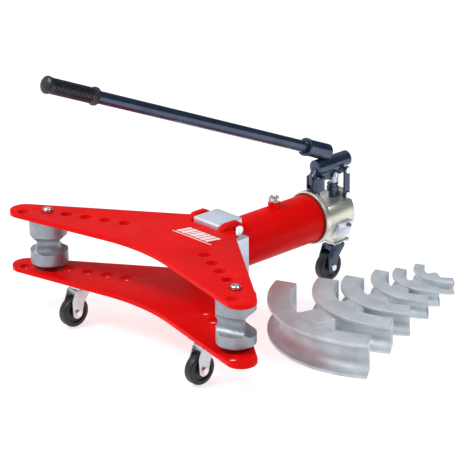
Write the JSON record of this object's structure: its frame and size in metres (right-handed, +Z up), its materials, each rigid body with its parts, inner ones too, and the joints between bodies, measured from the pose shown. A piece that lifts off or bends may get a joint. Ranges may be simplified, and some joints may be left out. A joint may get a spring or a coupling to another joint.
{
  "type": "hydraulic pipe bender",
  "caption": "Hydraulic ram pipe and conduit bender on casters: two wing plates with grooved rollers, ram cylinder, lever pump with long handle, and a graded set of arc formers.",
  "frame": {"origin": "on the floor, at the middle of the footprint of the bender with its formers", "axes": "+Y from the rollers back along the ram cylinder to the pump, +Z up, X along the wings"},
  "size_m": [0.757, 0.8966, 0.6188],
  "materials": {
    "red_paint": "gloss",
    "black_paint": "gloss",
    "machined_steel": "satin",
    "caster_steel": "satin",
    "cast_steel": "satin",
    "former_steel": "satin",
    "zinc_plate": "satin",
    "chrome": "polished",
    "spring_steel": "satin",
    "black_rubber": "matte",
    "grip_rubber": "matte",
    "wheel_rubber": "satin"
  },
  "bodies": {
    "frame": {"lower_wing_plate": "red_paint", "head_block": "machined_steel", "block_bolt_left": "chrome", "block_bolt_right": "chrome", "hinge_bolt": "chrome", "hinge_nut": "chrome", "cylinder_tube": "red_paint", "cylinder_flange": "zinc_plate", "inner_barrel": "machined_steel", "return_spring": "spring_steel", "pump_block": "zinc_plate", "rear_caster_pad": "zinc_plate", "release_valve_housing": "machined_steel", "large_pump_barrel": "black_paint", "large_pump_guard": "black_paint", "small_pump_barrel": "black_paint", "small_pump_gland_nut": "black_paint", "link_plate_left": "black_paint", "link_plate_right": "black_paint", "fulcrum_pin": "chrome", "link_foot_pin": "chrome", "caster_plate_left": "caster_steel", "caster_plate_right": "caster_steel", "caster_plate_rear": "caster_steel"},
    "upper_plate": {"upper_wing_plate": "red_paint", "hinge_ear_left": "red_paint", "hinge_ear_right": "red_paint"},
    "ram_assembly": {"ram": "chrome", "ram_nose": "machined_steel", "ram_piston": "machined_steel", "piston_seal": "black_rubber"},
    "plug": {"filler_plug": "chrome"},
    "release_valve": {"release_valve_screw": "spring_steel"},
    "lever": {"pump_lever": "black_paint", "handle_socket": "black_paint"},
    "handle": {"handle_tube": "black_paint", "handle_grip": "grip_rubber"},
    "large_plunger_body": {"large_plunger": "machined_steel", "large_plunger_pin": "chrome"},
    "small_plunger_body": {"small_plunger": "machined_steel", "small_plunger_pin": "chrome"},
    "left_roller": {"roller_left": "cast_steel"},
    "right_roller": {"roller_right": "cast_steel"},
    "left_caster": {"caster_fork_left": "caster_steel", "caster_axle_left": "chrome"},
    "left_wheel": {"caster_wheel_left": "wheel_rubber"},
    "right_caster": {"caster_fork_right": "caster_steel", "caster_axle_right": "chrome"},
    "right_wheel": {"caster_wheel_right": "wheel_rubber"},
    "rear_caster": {"caster_fork_rear": "black_paint", "caster_axle_rear": "chrome"},
    "rear_wheel": {"caster_wheel_rear": "wheel_rubber"},
    "former_2_inch_body": {"former_2_inch": "former_steel"},
    "former_1_1-2_inch_body": {"former_1_1-2_inch": "former_steel"},
    "former_1_1-4_inch_body": {"former_1_1-4_inch": "former_steel"},
    "former_1_inch_body": {"former_1_inch": "former_steel"},
    "former_3-4_inch_body": {"former_3-4_inch": "former_steel"},
    "former_1-2_inch_body": {"former_1-2_inch": "former_steel"}
  },
  "joints": [
    {"name": "upper_plate_flip", "type": "hinge", "parent": "frame", "child": "upper_plate", "pos_m": [-0.02503, -0.01694, 0.215], "axis": [-1, 0, 0], "range_deg": [0, 65]},
    {"name": "ram_stroke", "type": "slide", "parent": "frame", "child": "ram_assembly", "axis": [0, -1, 0], "range_m": [0, 0.18]},
    {"name": "filler_plug_lift", "type": "slide", "parent": "frame", "child": "plug", "axis": [0, 0, 1], "range_m": [0, 0.04]},
    {"name": "release_valve_turn", "type": "hinge", "parent": "frame", "child": "release_valve", "pos_m": [0.03097, 0.29856, 0.141], "axis": [1, 0, 0], "range_deg": [0, 180]},
    {"name": "pump_lever_swing", "type": "hinge", "parent": "frame", "child": "lever", "pos_m": [-0.02503, 0.32906, 0.246], "axis": [-1, 0, 0], "range_deg": [0, 35]},
    {"name": "handle_pull_out", "type": "slide", "parent": "lever", "child": "handle", "axis": [0, -0.9191, 0.3939], "range_m": [0, 0.08]},
    {"name": "large_plunger_stroke", "type": "slide", "parent": "frame", "child": "large_plunger_body", "axis": [0, 0, 1], "range_m": [0, 0.047]},
    {"name": "small_plunger_stroke", "type": "slide", "parent": "frame", "child": "small_plunger_body", "axis": [0, 0, 1], "range_m": [0, 0.0145]},
    {"name": "left_roller_turn", "type": "hinge", "parent": "frame", "child": "left_roller", "pos_m": [-0.30603, -0.23294, 0.157], "axis": [0, 0, 1], "continuous": true},
    {"name": "right_roller_turn", "type": "hinge", "parent": "frame", "child": "right_roller", "pos_m": [0.25597, -0.23294, 0.157], "axis": [0, 0, 1], "continuous": true},
    {"name": "left_caster_swivel", "type": "hinge", "parent": "frame", "child": "left_caster", "pos_m": [-0.21603, -0.23094, 0.08], "axis": [0, 0, 1], "continuous": true},
    {"name": "left_wheel_spin", "type": "hinge", "parent": "left_caster", "child": "left_wheel", "pos_m": [-0.21603, -0.24694, 0.03175], "axis": [1, 0, 0], "continuous": true},
    {"name": "right_caster_swivel", "type": "hinge", "parent": "frame", "child": "right_caster", "pos_m": [0.16597, -0.23094, 0.08], "axis": [0, 0, 1], "continuous": true},
    {"name": "right_wheel_spin", "type": "hinge", "parent": "right_caster", "child": "right_wheel", "pos_m": [0.16597, -0.24694, 0.03175], "axis": [1, 0, 0], "continuous": true},
    {"name": "rear_caster_swivel", "type": "hinge", "parent": "frame", "child": "rear_caster", "pos_m": [-0.02503, 0.31206, 0.08], "axis": [0, 0, 1], "continuous": true},
    {"name": "rear_wheel_spin", "type": "hinge", "parent": "rear_caster", "child": "rear_wheel", "pos_m": [-0.02503, 0.29606, 0.03175], "axis": [1, 0, 0], "continuous": true},
    {"name": "former_2_inch_lift", "type": "slide", "parent": "frame", "child": "former_2_inch_body", "axis": [0, 0, 1], "range_m": [0, 0.05]},
    {"name": "former_1_1-2_inch_lift", "type": "slide", "parent": "frame", "child": "former_1_1-2_inch_body", "axis": [0, 0, 1], "range_m": [0, 0.15]},
    {"name": "former_1_1-4_inch_lift", "type": "slide", "parent": "frame", "child": "former_1_1-4_inch_body", "axis": [0, 0, 1], "range_m": [0, 0.15]},
    {"name": "former_1_inch_lift", "type": "slide", "parent": "frame", "child": "former_1_inch_body", "axis": [0, 0, 1], "range_m": [0, 0.15]},
    {"name": "former_3-4_inch_lift", "type": "slide", "parent": "frame", "child": "former_3-4_inch_body", "axis": [0, 0, 1], "range_m": [0, 0.15]},
    {"name": "former_1-2_inch_lift", "type": "slide", "parent": "frame", "child": "former_1-2_inch_body", "axis": [0, 0, 1], "range_m": [0, 0.15]}
  ],
  "couplings": [
    {"joint": "large_plunger_stroke", "follows": "pump_lever_swing", "m_per_rad": 0.0765},
    {"joint": "small_plunger_stroke", "follows": "pump_lever_swing", "m_per_rad": 0.0225}
  ]
}
